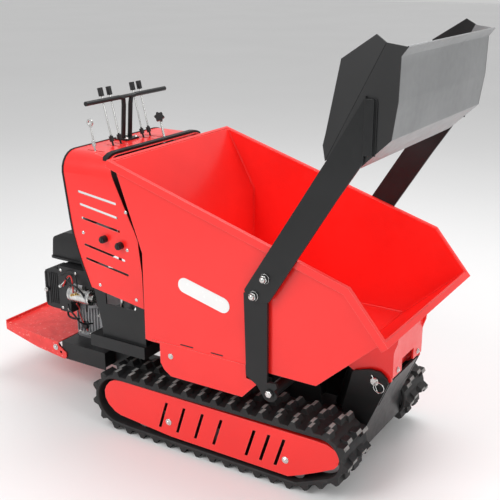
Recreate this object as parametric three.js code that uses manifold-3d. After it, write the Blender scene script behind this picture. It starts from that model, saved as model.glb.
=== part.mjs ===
// Power wheelbarrow: a rubber-tracked mini dumper with a tipping hopper, a self-loading shovel on two
// arms, a petrol engine with a hydraulic pump, a control console and a folding foot platform.
// Millimetres. +X is forward (the end the hopper pours over), +Z is up, the ground is z = 0 and
// y = 0 is the middle plane. The sizes below count x from the rear kink of the track covers;
// CENTRE_SHIFT then moves the whole machine so that the origin lies under the middle of its length.
import * as THREE from 'three';
import { mergeVertices } from 'three/addons/utils/BufferGeometryUtils.js';
import Module from 'manifold-3d';

// ---- driving dimensions ---------------------------------------------------------------------------
const CENTRE_SHIFT = 46;
const TRACK = {
  inner: 160, outer: 340, lug: 18, band: 14, pitch: 60, lugWidth: 17, columns: [[272, 336], [170, 240]],
  // wheel circles as [x, z, radius over the lugs]
  wheels: [[-228, 120, 117], [-170, 60, 60], [505, 60, 60], [594, 147, 102]],
};
const BELT_INSIDE = TRACK.lug + TRACK.band;
const ROLLERS = [[-125, 44], [190, 44], [505, 25]]; // x, radius
const HALF = 345; // half width of the hopper body
const TIP_PIVOT = [683, 354];
const ARM_PIVOT = [424, 338];
const CRANK = { r: 52, angle: -20.8 }; // from the shaft, with the loader raised
const LOADER_FOOT = [60, 160];
const TIP_FOOT = [500, 150];
const TIP_LUG = [562, 366];
const CONSOLE = { half: 300, top: 1003, corner: 70, sheet: 3 };
const LEVERS = [-121, -78, 56, 98];
const LEVER_PIVOT = [-361, 965];
const THROTTLE_Y = -223;
const STAR = { x: -318, y: 112, z: 985, knob: [-335, 105, 1076], axis: [0.5, -0.8, 0.3] };
const PLATFORM_PIVOT = [-648, 180];
const GAP = 0.3;

// ---- finishes -------------------------------------------------------------------------------------
const RED = { color: 0xe5241f, roughness: 0.32, metalness: 0 };
const BLACK = { color: 0x1b1c1c, roughness: 0.5, metalness: 0.1 };
const RUBBER = { color: 0x202124, roughness: 0.85, metalness: 0 };
const STEEL = { color: 0x9a9c9e, roughness: 0.38, metalness: 0.9 };
const ZINC = { color: 0xc9cac6, roughness: 0.3, metalness: 1 };
const CAST = { color: 0x9fa3a4, roughness: 0.55, metalness: 0.8 };
const PLASTIC = { color: 0x1d1e20, roughness: 0.45, metalness: 0 };
const WHITE = { color: 0xf1f1ef, roughness: 0.3, metalness: 0 };

// ---- solid helpers --------------------------------------------------------------------------------
const wasm = await Module();
wasm.setup();
const rad = THREE.MathUtils.degToRad;

function solid(geometry) {
  const g = geometry.clone();
  for (const key of Object.keys(g.attributes)) if (key !== 'position') g.deleteAttribute(key);
  const m = mergeVertices(g, 1e-4);
  return new wasm.Manifold(new wasm.Mesh({
    numProp: 3,
    vertProperties: new Float32Array(m.attributes.position.array),
    triVerts: new Uint32Array(m.index.array),
  }));
}
const join = (...parts) => parts.flat(3).reduce((a, b) => a.add(b));
const cut = (body, ...tools) => tools.flat(3).reduce((a, b) => a.subtract(b), body);

function toGeometry(body) {
  const mesh = body.getMesh();
  const g = new THREE.BufferGeometry();
  g.setAttribute('position', new THREE.BufferAttribute(new Float32Array(mesh.vertProperties), 3));
  g.setIndex(new THREE.BufferAttribute(new Uint32Array(mesh.triVerts), 1));
  const flat = g.toNonIndexed();
  flat.computeVertexNormals();
  return flat;
}
function mirrorY(body) {
  const m = body.getMesh();
  const v = new Float32Array(m.vertProperties);
  const t = new Uint32Array(m.triVerts);
  for (let i = 1; i < v.length; i += 3) v[i] = -v[i];
  for (let i = 0; i < t.length; i += 3) [t[i], t[i + 1]] = [t[i + 1], t[i]];
  return new wasm.Manifold(new wasm.Mesh({ numProp: 3, vertProperties: v, triVerts: t }));
}
const both = (body) => [body, mirrorY(body)];

// A polygon whose corners [u, v, radius] are rounded where a radius is given.
function rounded(points, steps = 4) {
  const out = [];
  points.forEach(([u, v, r], i) => {
    if (!r) { out.push([u, v]); return; }
    const a = points[(i + points.length - 1) % points.length];
    const b = points[(i + 1) % points.length];
    const la = Math.hypot(a[0] - u, a[1] - v), lb = Math.hypot(b[0] - u, b[1] - v);
    const cos = ((a[0] - u) * (b[0] - u) + (a[1] - v) * (b[1] - v)) / (la * lb);
    const t = Math.min(r / Math.tan(Math.acos(cos) / 2), la * 0.49, lb * 0.49);
    const p = [u + (a[0] - u) / la * t, v + (a[1] - v) / la * t];
    const q = [u + (b[0] - u) / lb * t, v + (b[1] - v) / lb * t];
    for (let k = 0; k <= steps; k += 1) {
      const s = k / steps;
      const w = [(1 - s) ** 2, 2 * s * (1 - s), s * s];
      out.push([w[0] * p[0] + w[1] * u + w[2] * q[0], w[0] * p[1] + w[1] * v + w[2] * q[1]]);
    }
  });
  return out;
}
function circle(u, v, r, sides = 16, from = 0, to = 360) {
  const full = to - from >= 360;
  return Array.from({ length: full ? sides : sides + 1 }, (_, k) => {
    const t = rad(from + (k / sides) * (to - from));
    return [u + r * Math.cos(t), v + r * Math.sin(t)];
  });
}
// The open polyline moved sideways: d > 0 goes to the left of its direction.
function shifted(line, d) {
  const n = line.slice(1).map((q, i) => {
    const l = Math.hypot(q[0] - line[i][0], q[1] - line[i][1]);
    return [-(q[1] - line[i][1]) / l, (q[0] - line[i][0]) / l];
  });
  return line.map((p, i) => {
    const a = n[Math.max(0, i - 1)], b = n[Math.min(n.length - 1, i)];
    const k = d / (1 + a[0] * b[0] + a[1] * b[1]);
    return [p[0] + (a[0] + b[0]) * k, p[1] + (a[1] + b[1]) * k];
  });
}
const closedShift = (ring, d) => shifted([ring[ring.length - 1], ...ring, ring[0]], d).slice(1, -1);
// Outline of a bent sheet whose one face follows the line; the thickness goes to its left.
const sheetLine = (line, thick) => [...line, ...shifted(line, thick).reverse()];

function outline(points) {
  const area = THREE.ShapeUtils.area(points.map(([u, v]) => new THREE.Vector2(u, v)));
  const shape = new THREE.Shape();
  (area < 0 ? [...points].reverse() : points)
    .forEach(([u, v], i) => (i ? shape.lineTo(u, v) : shape.moveTo(u, v)));
  shape.closePath();
  return shape;
}
function extruded(points, depth) {
  return new THREE.ExtrudeGeometry(outline(points), { depth, bevelEnabled: false, steps: 1 });
}
// Slab whose outline lies in the plane of u and v through an origin, thick from w0 to w1 along u x v.
function slab(points, origin, u, v, w0, w1) {
  const a = new THREE.Vector3(...u).normalize();
  const b = new THREE.Vector3(...v).normalize();
  const w = new THREE.Vector3().crossVectors(a, b);
  const m = new THREE.Matrix4().makeBasis(a, b, w);
  m.setPosition(new THREE.Vector3(...origin).addScaledVector(w, w0));
  return solid(extruded(points, w1 - w0).applyMatrix4(m));
}
const slabXZ = (points, y0, y1) => slab(points, [0, 0, 0], [1, 0, 0], [0, 0, 1], -y1, -y0);
const slabYZ = (points, x0, x1) => slab(points, [0, 0, 0], [0, 1, 0], [0, 0, 1], x0, x1);
const slabXY = (points, z0, z1) => slab(points, [0, 0, 0], [1, 0, 0], [0, 1, 0], z0, z1);
function box(x0, x1, y0, y1, z0, z1) {
  const g = new THREE.BoxGeometry(x1 - x0, y1 - y0, z1 - z0);
  return solid(g.translate((x0 + x1) / 2, (y0 + y1) / 2, (z0 + z1) / 2));
}
function rod(p, q, r, sides = 16, r2 = r) {
  const a = new THREE.Vector3(...p), b = new THREE.Vector3(...q);
  const d = b.clone().sub(a);
  const turn = new THREE.Quaternion().setFromUnitVectors(new THREE.Vector3(0, 1, 0), d.clone().normalize());
  const g = new THREE.CylinderGeometry(r2, r, d.length(), sides).applyQuaternion(turn);
  return solid(g.translate((a.x + b.x) / 2, (a.y + b.y) / 2, (a.z + b.z) / 2));
}
const rodY = ([x, z], r, y0, y1, sides = 16) => rod([x, y0, z], [x, y1, z], r, sides);
const ball = (p, r, n = 10) => solid(new THREE.SphereGeometry(r, n, n / 2 + 1).translate(...p));
function bentTube(points, r, bend, sides = 10) {
  const v = points.map((p) => new THREE.Vector3(...p));
  const path = new THREE.CurvePath();
  let from = v[0];
  for (let i = 1; i < v.length - 1; i += 1) {
    const a = v[i].clone().add(v[i - 1].clone().sub(v[i]).setLength(bend));
    const b = v[i].clone().add(v[i + 1].clone().sub(v[i]).setLength(bend));
    path.add(new THREE.LineCurve3(from, a));
    path.add(new THREE.QuadraticBezierCurve3(a, v[i], b));
    from = b;
  }
  path.add(new THREE.LineCurve3(from, v[v.length - 1]));
  return solid(new THREE.ExtrudeGeometry(outline(circle(0, 0, r, sides)), {
    steps: 7 * (v.length - 1), extrudePath: path, bevelEnabled: false,
  }));
}
const polar = ([x, z], r, deg) => [x + r * Math.cos(rad(deg)), z + r * Math.sin(rad(deg))];

const machine = new THREE.Group();
machine.name = 'power_wheelbarrow';
function place(name, body, look) {
  const mesh = new THREE.Mesh(toGeometry(body), new THREE.MeshStandardMaterial(look));
  mesh.name = name;
  mesh.position.set(CENTRE_SHIFT, 0, 0);
  machine.add(mesh);
}
// The right-hand piece is the one at -y; the left-hand one is its mirror image.
function placePair(name, body, look) {
  place(`${name}_right`, body, look);
  place(`${name}_left`, mirrorY(body), look);
}

// ---- rubber tracks and what runs in them ----------------------------------------------------------
function hull(points) {
  const p = [...points].sort((a, b) => a[0] - b[0] || a[1] - b[1]);
  const turn = (o, a, b) => (a[0] - o[0]) * (b[1] - o[1]) - (a[1] - o[1]) * (b[0] - o[0]);
  const half = (list) => {
    const out = [];
    for (const q of list) {
      while (out.length > 1 && turn(out[out.length - 2], out[out.length - 1], q) <= 1e-6) out.pop();
      out.push(q);
    }
    out.pop();
    return out;
  };
  return [...half(p), ...half([...p].reverse())];
}
const trackLoop = (inset, sides = 32) => hull(
  TRACK.wheels.flatMap(([x, z, r]) => circle(x, z, r - inset, sides)));

function lugStations(loop) {
  const seg = loop.map((p, i) => {
    const q = loop[(i + 1) % loop.length];
    return { p, d: [q[0] - p[0], q[1] - p[1]], l: Math.hypot(q[0] - p[0], q[1] - p[1]) };
  });
  const total = seg.reduce((s, e) => s + e.l, 0);
  const n = Math.round(total / TRACK.pitch);
  return Array.from({ length: n }, (_, k) => {
    let s = (k + 0.4) * (total / n), i = 0;
    while (s > seg[i].l) { s -= seg[i].l; i += 1; }
    const { p, d, l } = seg[i];
    return { at: [p[0] + d[0] * s / l, p[1] + d[1] * s / l], along: [d[0] / l, d[1] / l] };
  });
}
function rubberTrack() {
  const loop = trackLoop(TRACK.lug);
  const belt = cut(slabXZ(loop, -TRACK.outer, -TRACK.inner),
    slabXZ(trackLoop(BELT_INSIDE), -TRACK.outer - 5, -TRACK.inner + 5));
  const w = TRACK.lugWidth / 2;
  const lugs = lugStations(loop).flatMap(({ at, along }) => {
    const out = [along[1], -along[0]];
    const corner = (s, h) => [at[0] + along[0] * s + out[0] * h, at[1] + along[1] * s + out[1] * h];
    const bar = [corner(-w, -3), corner(w, -3), corner(w - 1, TRACK.lug), corner(1 - w, TRACK.lug)];
    return TRACK.columns.map(([y0, y1]) => slabXZ(bar, -y1, -y0));
  });
  return join(belt, lugs);
}
placePair('rubber_track', rubberTrack(), RUBBER);

// Pressed cover over the outside of each track, with sloping slots.
const COVER = [[-286, 146], [-284, 118], [-270, 95], [-241, 73], [-216, 65], [5, 46], [480, 44], [525, 63],
  [589, 94], [645, 124], [657, 140], [662, 161], [649, 189], [617, 201], [580, 203], [-206, 203],
  [-238, 199], [-261, 187], [-278, 166]];
const STAYS = [[2, 101], [470, 101]];
function trackCover() {
  const y = -334, deep = 22, sheet = 3;
  const pan = cut(slabXZ(COVER, y, y + deep), slabXZ(closedShift(COVER, sheet), y + sheet, y + deep + 1));
  const slots = [-5, 70, 146, 222, 352, 408, 464].map((x) => slabXZ(
    [[x - 39, 69], [x - 27, 69], [x + 6, 173], [x - 6, 173]], y - 2, y + 8));
  return join(cut(pan, slots), STAYS.map((p) => rodY(p, 13, y + 1, -276, 12)));
}
placePair('track_cover', trackCover(), RED);

const rollerAxle = ([x, r]) => [x, BELT_INSIDE + 0.8 + r];
const SPROCKET = TRACK.wheels[0];
const IDLER = TRACK.wheels[3];
function trackFrame() {
  const beam = box(-138, 512, -268, -212, 96, 172);
  const front = slabXZ([[470, 100], [600, 120], [632, 147], [600, 172], [470, 172]], -216, -207);
  const rear = slabXZ([[-130, 100], [-232, 92], [-258, 120], [-232, 150], [-130, 172]], -216, -207);
  const tabs = ROLLERS.map((w) => {
    const [x, z] = rollerAxle(w);
    return slabXZ([[x - 24, 100], [x - 14, z - 14], [x + 14, z - 14], [x + 24, 100]], -216, -207);
  });
  const holes = [rodY(SPROCKET, 12.5, -230, -190), rodY(IDLER, 12.5, -230, -190),
    ROLLERS.map((w) => rodY(rollerAxle(w), 8.5, -230, -190))];
  const ties = [-60, 400].map((x) => box(x - 25, x + 25, -214, -150, 134, 172));
  const stays = STAYS.map((p) => rodY(p, 11, -275.7, -262, 12));
  return cut(join(beam, front, rear, tabs, ties, stays), holes);
}
placePair('track_frame', trackFrame(), BLACK);

function driveSprocket() {
  const [x, z, over] = SPROCKET;
  const tip = over - BELT_INSIDE - 1.2, teeth = 11, pitch = 360 / teeth;
  const ring = Array.from({ length: teeth }, (_, k) => [[-0.36, tip - 13], [-0.17, tip], [0.17, tip],
    [0.36, tip - 13]].map(([f, r]) => polar([x, z], r, (k + f) * pitch))).flat();
  const lighten = [0, 1, 2, 3, 4].map((k) => rodY(polar([x, z], 52, k * 72), 9, -270, -230, 12));
  return cut(join(slabXZ(ring, -262, -238), rodY(SPROCKET, 38, -276, -219, 20),
    rodY(SPROCKET, 12, -219.5, -196)), lighten);
}
placePair('drive_sprocket', driveSprocket(), CAST);

function idlerWheel() {
  const r = IDLER[2] - BELT_INSIDE - 1.2;
  const rims = [[-300, -272], [-246, -219]].map(([a, b]) => rodY(IDLER, r, a, b, 26));
  return join(rims, rodY(IDLER, 40, -273, -245, 18), rodY(IDLER, 12, -219.5, -196));
}
placePair('idler_wheel', idlerWheel(), CAST);

ROLLERS.forEach((w, i) => {
  const p = rollerAxle(w);
  placePair(`track_roller_${i + 1}`, join(rodY(p, w[1], -310, -281, 20), rodY(p, w[1], -203, -182, 20),
    rodY(p, 8, -282, -202, 12)), CAST);
});

// ---- chassis --------------------------------------------------------------------------------------
// Clevis pair with a pin across it for the foot of a hydraulic ram.
function ramFoot([x, z], base, pin) {
  const ear = slabXZ(rounded([[x - 26, base], [x + 26, base], [x + 18, z + 18, 12], [x - 18, z + 18, 12]]),
    -30, -20);
  return [both(ear), rodY([x, z], pin, -25, 25, 12)];
}
function chassisFrame() {
  const rails = both(box(-612, 640, -135, -95, 133.7, 203.7));
  const members = [[-396, -356], [-80, -40], [262, 302], [360, 400]].map(([a, b]) =>
    box(a, b, -100, 100, 140, 200));
  const outriggers = [-60, 400].map((x) => both(box(x - 25, x + 25, -149.7, -130, 134, 172)));
  const feet = [box(30, 104, -100, 100, 120, 134), box(30, 60, -100, -94, 120, 150),
    box(470, 530, -100, 100, 104, 128), both(box(470, 530, -134, -96, 104, 140))];
  const nosePlate = slabXZ([[604, 150], [660, 150], [664, 192], [730, 354], [723, 357], [656, 194]], -135, 135);
  const noseBox = slabXY(rounded([[604, -158], [660, -158, 14], [660, 158, 14], [604, 158]]), 107, 186);
  const clevises = both(slabXZ(rounded([[570, 150], [660, 150], [664, 192], [729, 353], [722, 372, 14],
    [700, 390, 16], [664, 391, 16], [604, 372, 12], [566, 203]]), -135, -127));
  const slots = both(box(600, 780, -125.6, -112.4, 262, 430));
  const pinHoles = rodY(TIP_PIVOT, 12.5, -160, 160);
  const bearings = both(slabXZ(rounded([[360, 190], [488, 190], [464, 338, 20], [450, 372, 22],
    [398, 372, 22], [384, 338, 20]]), -114, -102));
  const shaftHole = rodY(ARM_PIVOT, 20.5, -130, 130, 20);
  const rests = [[-48, 0], [300, 336]].map(([a, b]) => both(box(a, b, -128, -98, 190, 399.6)));
  const props = [[-350, -322], [-170, -142]].map(([a, b]) => both(box(a, b, -132, -98, 190, 340.7)));
  return cut(join(rails, members, outriggers, feet, noseBox, nosePlate, clevises, bearings, rests, props,
    ramFoot(LOADER_FOOT, 125, 8), ramFoot(TIP_FOOT, 120, 8)), slots, pinHoles, shaftHole);
}
place('chassis_frame', chassisFrame(), BLACK);

place('hopper_pin', join(rodY(TIP_PIVOT, 12, -143, 135.5), rodY(TIP_PIVOT, 18, 135.3, 143)), ZINC);

function engineBase() {
  const top = box(-618, -400, -197, 197, 204, 210);
  const skirts = both(slabXZ([[-618, 206], [-400, 206], [-400, 139], [-600, 139], [-618, 143]], -197, -193));
  const lugs = both(slabXZ([...circle(...PLATFORM_PIVOT, 17.5, 14, 25, 275), [-612, 150], [-612, 181],
    [-631, 184]], -197, -190));
  const bores = rodY(PLATFORM_PIVOT, 6.3, -210, 210, 12);
  const front = box(-404, -400, -197, 197, 150, 206);
  const over = both(box(-612, -400, -136, -94, 120, 203.9));
  return cut(join(top, skirts, lugs, cut(front, over)), bores);
}
place('engine_base', engineBase(), BLACK);

// ---- foot platform --------------------------------------------------------------------------------
function platform() {
  const tread = slabXZ([[-634, 200], [-634, 204], [-919, 224], [-919, 220]], -202, 202);
  const lip = slabXZ([[-919, 200], [-915, 200], [-915, 236], [-919, 236]], -202, 202);
  const flange = slabXZ([[-634, 203], [-919, 223], [-919, 196], [-751, 156], [-604, 139], [-595, 148],
    [-595, 166], [-634, 190]], -202, -198);
  const holes = [rodY([-623, 164], 6, -210, 210, 12)];
  const pins = both(rodY(PLATFORM_PIVOT, 5.8, -199, -184, 12));
  return join(cut(join(tread, lip, both(flange)), holes), pins);
}
place('platform', platform(), RED);

// ---- hopper ---------------------------------------------------------------------------------------
const FLOOR = [[-187, 1011], [-65, 790], [-65, 404], [578, 404], [798, 604]];
const RIM = [[798, 604], [682, 743], [-187, 1011]];
const onward = (p, q, d) => {
  const l = Math.hypot(q[0] - p[0], q[1] - p[1]);
  return [q[0] + (q[0] - p[0]) * d / l, q[1] + (q[1] - p[1]) * d / l];
};
function hopper() {
  const sheet = 4, reach = 13.5, drop = 25, lip = 24;
  // The tub is a block under the rim line, hollowed from above.
  const last = FLOOR.length - 1;
  const short = [onward(FLOOR[1], FLOOR[0], -2), ...FLOOR.slice(1, -1), onward(FLOOR[last - 1], FLOOR[last], -2)];
  const block = slabXZ([...shifted(short, -sheet), ...shifted(RIM, 2)], -HALF, HALF);
  // The rim is an angle all round: out from the wall, then down.
  const line = (d) => [onward(RIM[1], RIM[0], lip + d), RIM[1], onward(RIM[1], RIM[2], reach + d)];
  const out = HALF + reach;
  const angle = cut(slabXZ(sheetLine(line(0), drop), -out, out),
    slabXZ([...shifted(line(-sheet), sheet), ...shifted(line(-sheet), drop + 1).reverse()],
      sheet - out, out - sheet));
  const hollow = slabXZ([onward(FLOOR[1], FLOOR[0], 120), ...FLOOR.slice(1, -1),
    onward(FLOOR[last - 1], FLOOR[last], 60), [900, 1250], [-260, 1250]], sheet - HALF, HALF - sheet);
  // The side sheets reach back past the bend of the rear wall.
  const ears = both(slabXZ([[-184, 1003], [-78, 712], [-78, 402], [-62, 402], [-62, 788]], -HALF, sheet - HALF));
  const skirt = both(slabXZ([[-53, 409], [-15, 405], [-14, 332], [0, 309], [29, 290], [314, 291], [374, 355],
    [329, 362], [327, 408]], -HALF - 3, -HALF + 1));
  const [lx, lz] = TIP_LUG;
  const lugs = both(slabXZ(rounded([[lx - 30, 402], [lx - 16, lz - 15, 10], [lx + 12, lz - 15, 10],
    [lx + 14, 402]]), -32, -24));
  // The rim is a ring of its own, welded round the top of the walls.
  const clear = slabXZ([...shifted(short, -sheet - GAP), ...shifted(RIM, -30)], -HALF - GAP, HALF + GAP);
  return [join(cut(block, hollow), ears, skirt, lugs, rodY(TIP_LUG, 8, -28, 28, 12)), cut(angle, hollow, clear)];
}
const [tub, rim] = hopper();
place('hopper', tub, RED);
place('hopper_rim', rim, RED);

function hopperBracket() {
  const spout = (x) => 399 + (x - 580) * 0.909;
  const side = both(slabXZ([[545, 399.2], [597, 370], [650, 346], ...circle(...TIP_PIVOT, 28, 10, 210, 335),
    [735, 359], [733, 422], [738, 460], [749, 494], [755, spout(755)], [580, 399]], -122, -116));
  const cross = cut(slabXZ([[731, 372], [738, 372], [738, spout(738)], [731, spout(731)]], -122, 122),
    box(720, 750, -50, 50, 360, 414));
  const flange = slabXZ([[650, spout(650)], [720, spout(720)], [720, spout(720) - 6], [650, spout(650) - 6]],
    -122, 122);
  const sleeve = rodY(TIP_PIVOT, 20, -117, 117, 18);
  return cut(join(side, cross, flange, sleeve), rodY(TIP_PIVOT, 12.5, -150, 150));
}
place('hopper_bracket', hopperBracket(), RED);

// Blank pill-shaped plate on the right-hand wall, parallel to the rim.
function labelPlate() {
  const a = [94, 632], b = [241, 594], r = 26;
  const tilt = Math.atan2(b[1] - a[1], b[0] - a[0]) * 180 / Math.PI;
  return slabXZ([...circle(...a, r, 12, tilt + 90, tilt + 270), ...circle(...b, r, 12, tilt - 90, tilt + 90)],
    -HALF - GAP - 1.5, -HALF - GAP);
}
place('label_plate', labelPlate(), WHITE);

// ---- loader ---------------------------------------------------------------------------------------
function loaderShaft() {
  const crank = polar(ARM_PIVOT, CRANK.r, CRANK.angle);
  const web = slab([...circle(0, 0, 26, 12, 90, 270), ...circle(CRANK.r, 0, 15, 10, -90, 90)],
    [ARM_PIVOT[0], 0, ARM_PIVOT[1]], [Math.cos(rad(CRANK.angle)), 0, Math.sin(rad(CRANK.angle))],
    [-Math.sin(rad(CRANK.angle)), 0, Math.cos(rad(CRANK.angle))], 18, 28);
  const collars = both(rodY(ARM_PIVOT, 26, -127, -114.4, 18));
  return join(rodY(ARM_PIVOT, 20, -351, -24, 20), rodY(ARM_PIVOT, 17, -25, 25), rodY(ARM_PIVOT, 20, 24, 351, 20),
    both(web), collars, rodY(crank, 5, -20, 20, 10));
}
place('loader_shaft', loaderShaft(), BLACK);

function lowerArm() {
  const plate = slabXZ([[329, 660], [352, 660], [390, 742], [415, 744], [414, 650], [415, 374],
    [446, 378], [452, 364], [440, 352], ...circle(...ARM_PIVOT, 28, 10, 15, -160).filter((p) => p[1] < 345),
    [378, 356], [338, 380]], -361.2, -351.3);
  const head = rodY(ARM_PIVOT, 16, -366, -361, 12);
  return join(plate, head);
}
placePair('lower_arm', lowerArm(), BLACK);

function upperArm() {
  const plate = slabXZ(rounded([[335, 673, 10], [360, 640, 10], [424, 649, 8], [643, 1003], [702, 1093],
    [716, 1116], [722, 1197], [722, 1285], [716, 1296], [606, 1110]]), -369.5, -361.5);
  const nuts = [[409, 723], [370, 660]].map((p) => rodY(p, 16, -378, -369, 12));
  return join(plate, nuts);
}
placePair('upper_arm', upperArm(), BLACK);

const SHEET = [[827, 1429], [808, 1404], [806, 1286], [792, 1183], [700, 1095], [600, 1110]];
function shovel() {
  const y = -358;
  const pan = slabXZ(sheetLine(SHEET, -4), y, -y);
  const cheek = slabXZ([[766, 1437], ...SHEET], -361.2, y + 1);
  // The rear part of each cheek leans inwards from a fold line.
  const a = new THREE.Vector3(598, y + 1, 1106), b = new THREE.Vector3(766, y + 1, 1437);
  const u = b.clone().sub(a).normalize(), w = new THREE.Vector3(-u.z, 0, u.x);
  const lean = w.clone().multiplyScalar(Math.cos(rad(12))).add(new THREE.Vector3(0, Math.sin(rad(12)), 0));
  const local = [[598, 1106], [766, 1437], [734, 1456], [628, 1386], [594, 1182], [587, 1148]].map(([x, z]) => {
    const d = new THREE.Vector3(x, y + 1, z).sub(a);
    return [d.dot(u), d.dot(w) / Math.cos(rad(12))];
  });
  const wing = slab(local, [a.x, a.y, a.z], [u.x, u.y, u.z], [lean.x, lean.y, lean.z], 0, 4.2);
  return join(pan, both(cheek), both(wing));
}
place('shovel', shovel(), STEEL);

// ---- hydraulic rams -------------------------------------------------------------------------------
// A ram from a foot pin to the far pin: the barrel turns on the foot, the rod slides in the barrel.
function ram(name, foot, head, { barrel, bore, rodR, eyeW, eye, hole, footHole, length, inner }) {
  const d = [head[0] - foot[0], head[1] - foot[1]];
  const l = Math.hypot(...d), u = [d[0] / l, d[1] / l];
  const at = (s) => [foot[0] + u[0] * s, 0, foot[1] + u[1] * s];
  const body = cut(join(rod(at(22), at(length), barrel, 18), rod(at(length - 1), at(length + 12), barrel + 4, 18),
    rodY(foot, 19, -eyeW, eyeW), rod(at(8), at(24), 15, 14)),
  rod(at(34), at(length + 20), bore, 16), rodY(foot, footHole, -60, 60, 14));
  const neck = rod(at(inner), at(l - hole - 2), rodR, 14);
  const end = cut(rodY(head, eye, -eyeW, eyeW, 18), rodY(head, hole, -60, 60, 16));
  place(`${name}_barrel`, body, BLACK);
  place(`${name}_rod`, join(neck, end), ZINC);
}
ram('tip_ram', TIP_FOOT, TIP_LUG, { barrel: 21, bore: 10.6, rodR: 10, eyeW: 17, eye: 21, hole: 12.4,
  footHole: 8.4, length: 165, inner: 40 });
ram('loader_ram', LOADER_FOOT, polar(ARM_PIVOT, CRANK.r, CRANK.angle), { barrel: 21, bore: 10.6, rodR: 10,
  eyeW: 15, eye: 21, hole: 14.6, footHole: 8.4, length: 300, inner: 112 });

// ---- engine ---------------------------------------------------------------------------------------
function engineBlock() {
  const sump = slabXZ([[-612, 210.3], [-482, 210.3], [-482, 330], [-520, 372], [-600, 372], [-612, 340]], -110, 82);
  const feet = both(box(-600, -496, -118, -60, 210.3, 222));
  const cylinder = slabXZ([[-600, 318], [-560, 372], [-560, 420], [-668, 500], [-712, 442], [-640, 372]], -68, 16);
  const fins = [0, 1, 2, 3].map((k) => {
    const x = -622 - 22 * k, z = 366 + 13 * k;
    return slabXZ([[x, z - 12], [x + 40, z + 88], [x + 34, z + 90], [x - 6, z - 8]], -76, 19.6);
  });
  const duct = box(-700, -656, -79.6, -60, 392, 436);
  const saddle = [[-640, -620], [-560, -540]].map(([a, b]) => box(a, b, -60, 10, 400, 509.6));
  const cheek = rodY([-548, 300], 74, 80, 85, 22);
  return join(sump, feet, cylinder, fins, duct, saddle, cheek);
}
place('engine_block', engineBlock(), CAST);

function engineShroud() {
  const low = box(-648, -592, -160, -112, 322, 450);
  const high = slabXZ(rounded([[-648, 440, 6], [-470, 440, 8], [-478, 500, 12], [-500, 509, 8], [-648, 509, 6]]),
    -160, -84);
  const cowl = slabXZ(rounded([[-592, 440], [-592, 436.6], [-470, 436.6], [-470, 440]]), -116, -110.4);
  return join(low, high, cowl);
}
place('engine_shroud', engineShroud(), PLASTIC);

place('starter_motor', join(rod([-590, -150, 404], [-486, -150, 404], 32, 18),
  rod([-486.5, -150, 404], [-474, -150, 404], 18, 14), box(-580, -500, -138, -110.4, 384, 420)), ZINC);

function fuelTank() {
  const seam = slabXY(rounded([[-727, -120, 20], [-520, -120, 20], [-520, 125, 20], [-727, 125, 20]]), 516, 524);
  const tub = slabXZ([[-716, 517], [-700, 510], [-540, 510], [-531, 517]], -108, 113);
  const dome = slabXZ(rounded([[-719, 523], [-711, 602, 10], [-664, 624, 20], [-545, 628, 14], [-528, 600, 10],
    [-524, 523]]), -112, 117);
  const chamfer = both(slabYZ([[-124, 560], [-124, 640], [-94, 640]], -740, -500));
  const neck = rod([-640, 30, 620], [-640, 30, 636], 22, 18);
  return join(cut(dome, chamfer), seam, tub, neck);
}
place('fuel_tank', fuelTank(), PLASTIC);
place('fuel_cap', join(rod([-640, 30, 636.3], [-640, 30, 656], 29, 20), rod([-640, 30, 655], [-640, 30, 660], 20, 16)),
  PLASTIC);

function airFilter() {
  const shell = slabXZ(rounded([[-730, 326, 10], [-700, 321, 4], [-655, 321, 8], [-655, 488, 8], [-694, 490, 4],
    [-730, 473, 10]]), -150, -80);
  const ribs = [[-730, -722], [-712, -704]].map(([a, b]) => box(a, b, -153, -148, 338, 466));
  return join(shell, ribs, rodY([-716, 397], 9, -160, -149, 12));
}
place('air_filter', airFilter(), PLASTIC);

function muffler() {
  const can = slabXZ(rounded([[-745, 350, 18], [-650, 350, 18], [-650, 480, 18], [-745, 480, 18]]), 30, 130);
  const flange = box(-700, -662, 20, 31, 400, 450);
  const tail = rod([-744, 100, 440], [-756, 100, 440], 12, 12);
  return join(can, flange, tail);
}
place('muffler', muffler(), STEEL);

function hydraulicPump() {
  const bell = rod([-548, 85.3, 300], [-548, 128, 300], 56, 20, 44);
  const body = box(-586, -510, 127, 205, 262, 338);
  const ports = [[-566, 352], [-530, 352]].map(([x, z]) => rod([x, 170, 330], [x, 170, z], 10, 12));
  return join(bell, body, rod([-548, 204, 300], [-548, 216, 300], 24, 16), ports);
}
place('hydraulic_pump', hydraulicPump(), CAST);

// ---- console --------------------------------------------------------------------------------------
const REAR_EDGE = [[-460.5, 1012], [-457, 931], [-434, 760], [-425, 709], [-407, 647], [-388, 595], [-357, 521]];
const TRIM = 7; // width of the edge seal along the rear edge
const FRONT_EDGE = [[-117, 488], [-120, 619], [-131, 708], [-132, 730], [-146, 763], [-166, 801], [-243, 961],
  [-269.5, 1012]];
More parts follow.
